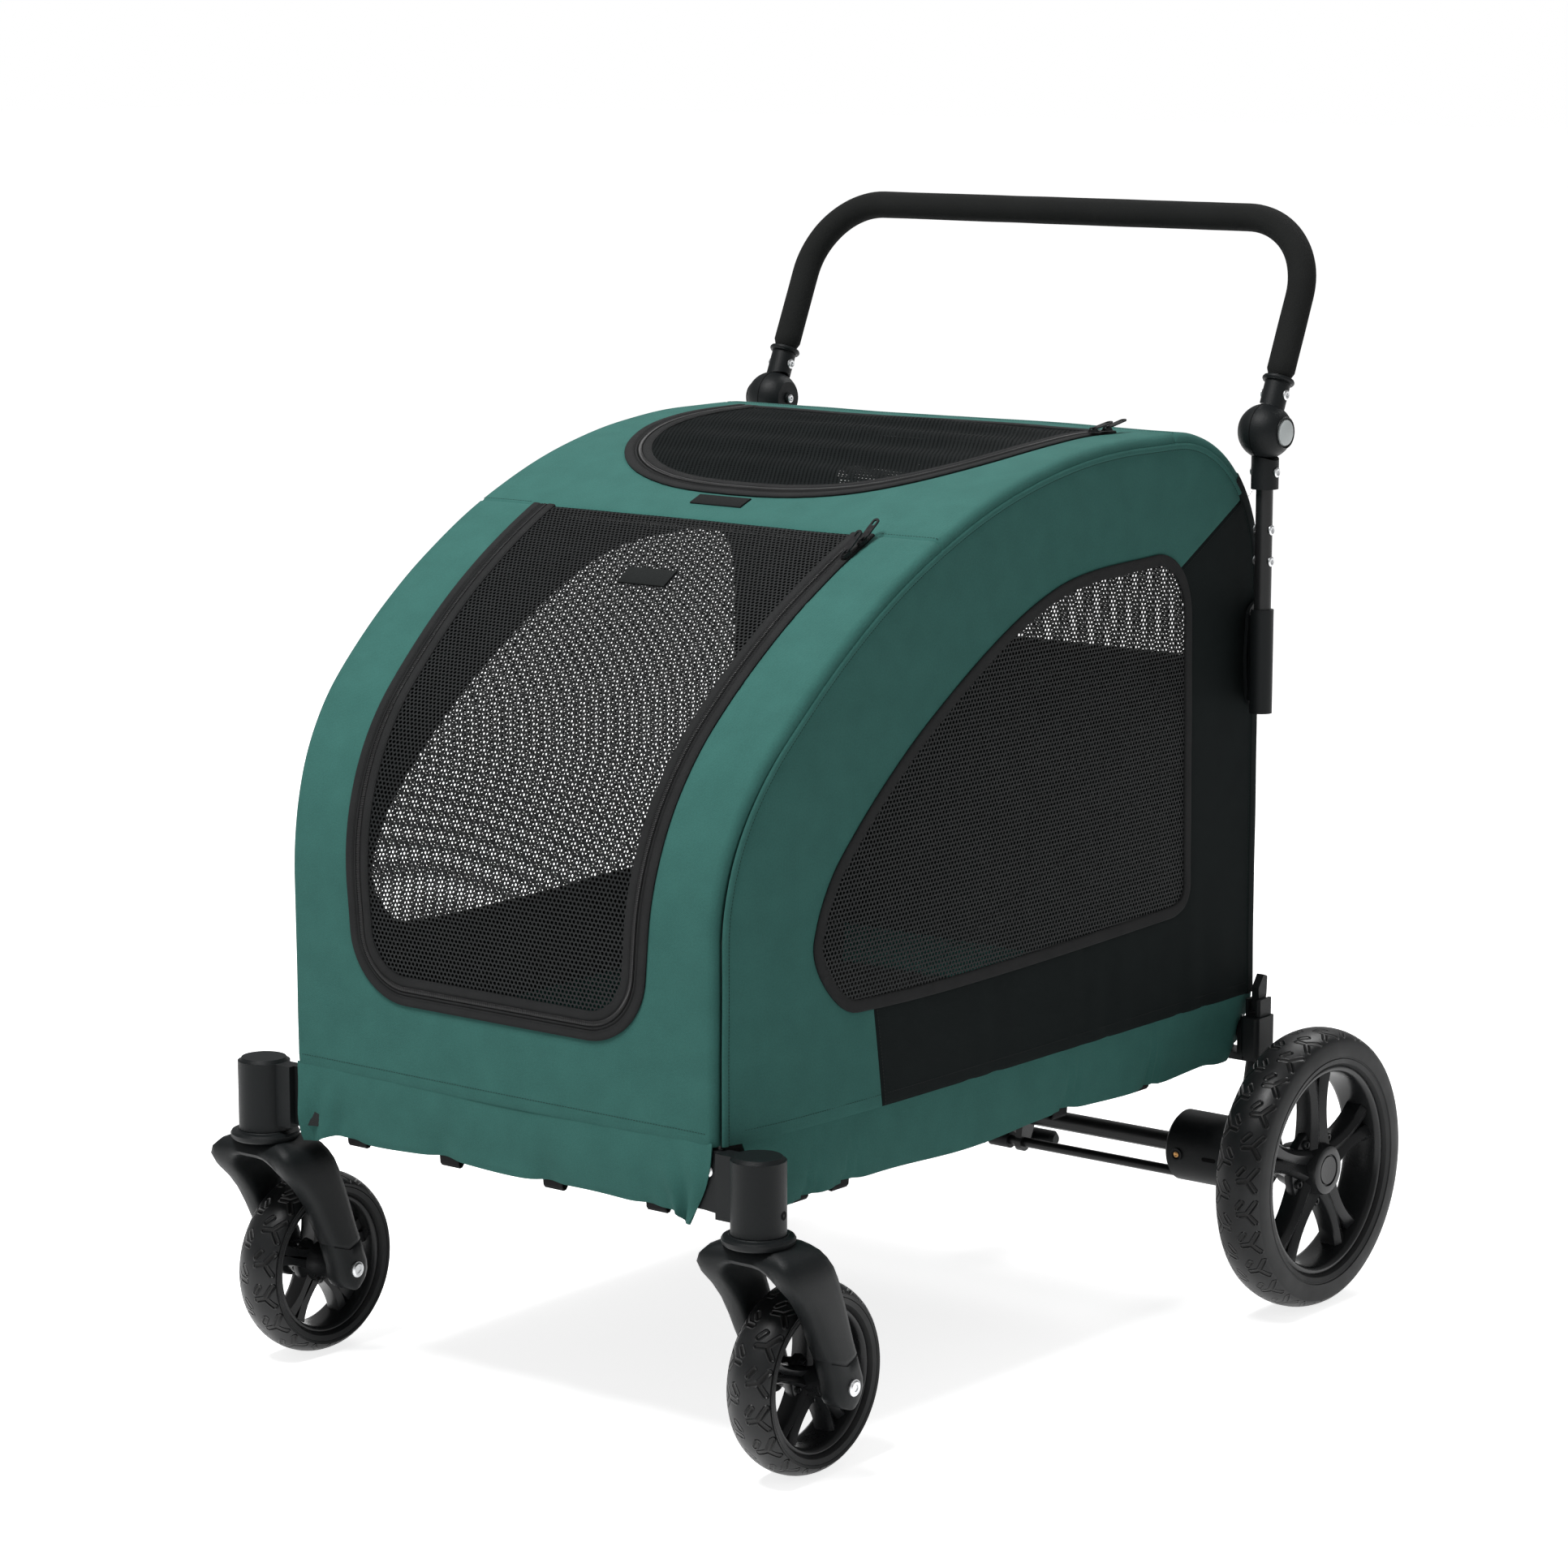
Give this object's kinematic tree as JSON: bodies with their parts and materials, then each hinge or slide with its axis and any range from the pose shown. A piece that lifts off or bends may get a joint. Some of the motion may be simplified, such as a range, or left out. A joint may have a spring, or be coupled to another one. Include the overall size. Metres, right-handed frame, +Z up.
{
  "type": "pet stroller",
  "caption": "Folding four-wheeled pet stroller with an arched fabric and mesh cabin, swivelling front casters, braked rear axle and a tilting foam-covered push handle.",
  "frame": {"origin": "on the ground below the middle of the stroller's bounding box", "axes": "+Z up, -Y towards the door at the front, +X towards the left of the person pushing"},
  "size_m": [0.848, 1.0269, 1.1616],
  "materials": {
    "green_fabric": "woven polyester canvas",
    "black_fabric": "woven polyester canvas",
    "mesh": "open knitted mesh",
    "webbing": "woven webbing",
    "pad_fabric": "quilted fabric",
    "board": "hard board",
    "tyre": "foam tyre",
    "foam": "soft foam",
    "grey_plastic": "satin",
    "steel": "zinc plated",
    "zip_metal": "black",
    "frame_tube": "powder coat",
    "black_plastic": "moulded, fine grain"
  },
  "bodies": {
    "base": {"front_rail": "frame_tube", "rear_rail": "frame_tube", "cross_tubes": "frame_tube", "floor_board": "board", "floor_pad": "pad_fabric", "axle_tube": "frame_tube", "axle_rod": "steel", "hem_skirt": "green_fabric", "front_panel": "green_fabric", "top_panel": "green_fabric", "rear_panel": "green_fabric", "mesh_rear_window": "mesh", "zip_pulls": "zip_metal", "hem_tabs": "webbing", "side_rail_left": "frame_tube", "side_rail_right": "frame_tube", "caster_housing_left": "black_plastic", "caster_housing_right": "black_plastic", "rear_bracket_left": "black_plastic", "rear_bracket_right": "black_plastic", "rear_leg_left": "black_plastic", "rear_leg_right": "black_plastic", "side_window_left": "mesh", "side_window_right": "mesh", "side_black_panel_left": "black_fabric", "side_black_panel_right": "black_fabric", "side_green_panel_left": "green_fabric", "side_green_panel_right": "green_fabric"},
    "door": {"mesh_door": "mesh"},
    "top_flap": {"mesh_top_flap": "mesh"},
    "rear_frame": {"rear_hoop": "frame_tube", "post_bracket_left": "black_plastic", "post_bracket_right": "black_plastic", "handle_post_left": "frame_tube", "handle_post_right": "frame_tube", "hinge_lower_left": "black_plastic", "hinge_lower_right": "black_plastic"},
    "front_frame": {"front_hoop": "frame_tube"},
    "handle": {"handle_tube": "frame_tube", "foam_grip": "foam", "hinge_upper_left": "black_plastic", "hinge_upper_right": "black_plastic"},
    "brake": {"brake_rod": "frame_tube", "brake_pedal": "black_plastic"},
    "button_left": {"push_button_left": "grey_plastic"},
    "latch_left": {"latch_lever_left": "black_plastic"},
    "caster_left": {"caster_fork_left": "black_plastic", "front_axle_left": "steel"},
    "front_wheel_left": {"front_tyre_left": "tyre", "front_rim_left": "black_plastic"},
    "rear_wheel_left": {"rear_tyre_left": "tyre", "rear_rim_left": "black_plastic"},
    "button_right": {"push_button_right": "grey_plastic"},
    "latch_right": {"latch_lever_right": "black_plastic"},
    "caster_right": {"caster_fork_right": "black_plastic", "front_axle_right": "steel"},
    "front_wheel_right": {"front_tyre_right": "tyre", "front_rim_right": "black_plastic"},
    "rear_wheel_right": {"rear_tyre_right": "tyre", "rear_rim_right": "black_plastic"}
  },
  "joints": [
    {"name": "fold_rear", "type": "hinge", "parent": "base", "child": "rear_frame", "pos_m": [0, 0.385, 0.284], "axis": [1, 0, 0], "range_deg": [0, 57], "deforming": ["hem_skirt", "front_panel", "top_panel", "rear_panel", "mesh_rear_window", "mesh_door", "mesh_top_flap", "zip_pulls", "hem_tabs", "side_window_left", "side_window_right", "side_black_panel_left", "side_black_panel_right", "side_green_panel_left", "side_green_panel_right"]},
    {"name": "fold_front", "type": "hinge", "parent": "base", "child": "front_frame", "pos_m": [0, -0.467, 0.306], "axis": [-1, 0, 0], "range_deg": [0, 57]},
    {"name": "handle_tilt", "type": "hinge", "parent": "rear_frame", "child": "handle", "pos_m": [0, 0.355, 0.931], "axis": [-1, 0, 0], "range_deg": [-84, 90]},
    {"name": "door_lift", "type": "hinge", "parent": "base", "child": "door", "pos_m": [0, -0.175, 0.8633], "axis": [-1, 0, 0], "range_deg": [0, 100]},
    {"name": "top_flap_lift", "type": "hinge", "parent": "base", "child": "top_flap", "pos_m": [0, 0.196, 0.93699], "axis": [-1, 0, 0], "range_deg": [0, 105]},
    {"name": "brake_press", "type": "hinge", "parent": "base", "child": "brake", "pos_m": [0, 0.354, 0.1205], "axis": [-1, 0, 0], "range_deg": [0, 18]},
    {"name": "button_left", "type": "slide", "parent": "handle", "child": "button_left", "axis": [-1, 0, 0], "range_m": [0, 0.0035], "stiffness_N_per_m": 400, "springref_m": -0.002},
    {"name": "latch_left", "type": "hinge", "parent": "base", "child": "latch_left", "pos_m": [0.312, 0.388, 0.309], "axis": [-1, 0, 0], "range_deg": [0, 20]},
    {"name": "caster_swivel_left", "type": "hinge", "parent": "base", "child": "caster_left", "pos_m": [0.3205, -0.481, 0.28], "axis": [0, 0, 1], "continuous": true},
    {"name": "front_wheel_spin_left", "type": "hinge", "parent": "caster_left", "child": "front_wheel_left", "pos_m": [0.3205, -0.4125, 0.0945], "axis": [1, 0, 0], "continuous": true},
    {"name": "rear_wheel_spin_left", "type": "hinge", "parent": "base", "child": "rear_wheel_left", "pos_m": [0.395, 0.363, 0.15], "axis": [1, 0, 0], "continuous": true},
    {"name": "button_right", "type": "slide", "parent": "handle", "child": "button_right", "axis": [1, 0, 0], "range_m": [0, 0.0035], "stiffness_N_per_m": 400, "springref_m": -0.002},
    {"name": "latch_right", "type": "hinge", "parent": "base", "child": "latch_right", "pos_m": [-0.312, 0.388, 0.309], "axis": [-1, 0, 0], "range_deg": [0, 20]},
    {"name": "caster_swivel_right", "type": "hinge", "parent": "base", "child": "caster_right", "pos_m": [-0.3205, -0.481, 0.28], "axis": [0, 0, 1], "continuous": true},
    {"name": "front_wheel_spin_right", "type": "hinge", "parent": "caster_right", "child": "front_wheel_right", "pos_m": [-0.3205, -0.4125, 0.0945], "axis": [1, 0, 0], "continuous": true},
    {"name": "rear_wheel_spin_right", "type": "hinge", "parent": "base", "child": "rear_wheel_right", "pos_m": [-0.395, 0.363, 0.15], "axis": [1, 0, 0], "continuous": true}
  ],
  "couplings": [
    {"joint": "fold_front", "follows": "fold_rear", "ratio": 1}
  ]
}
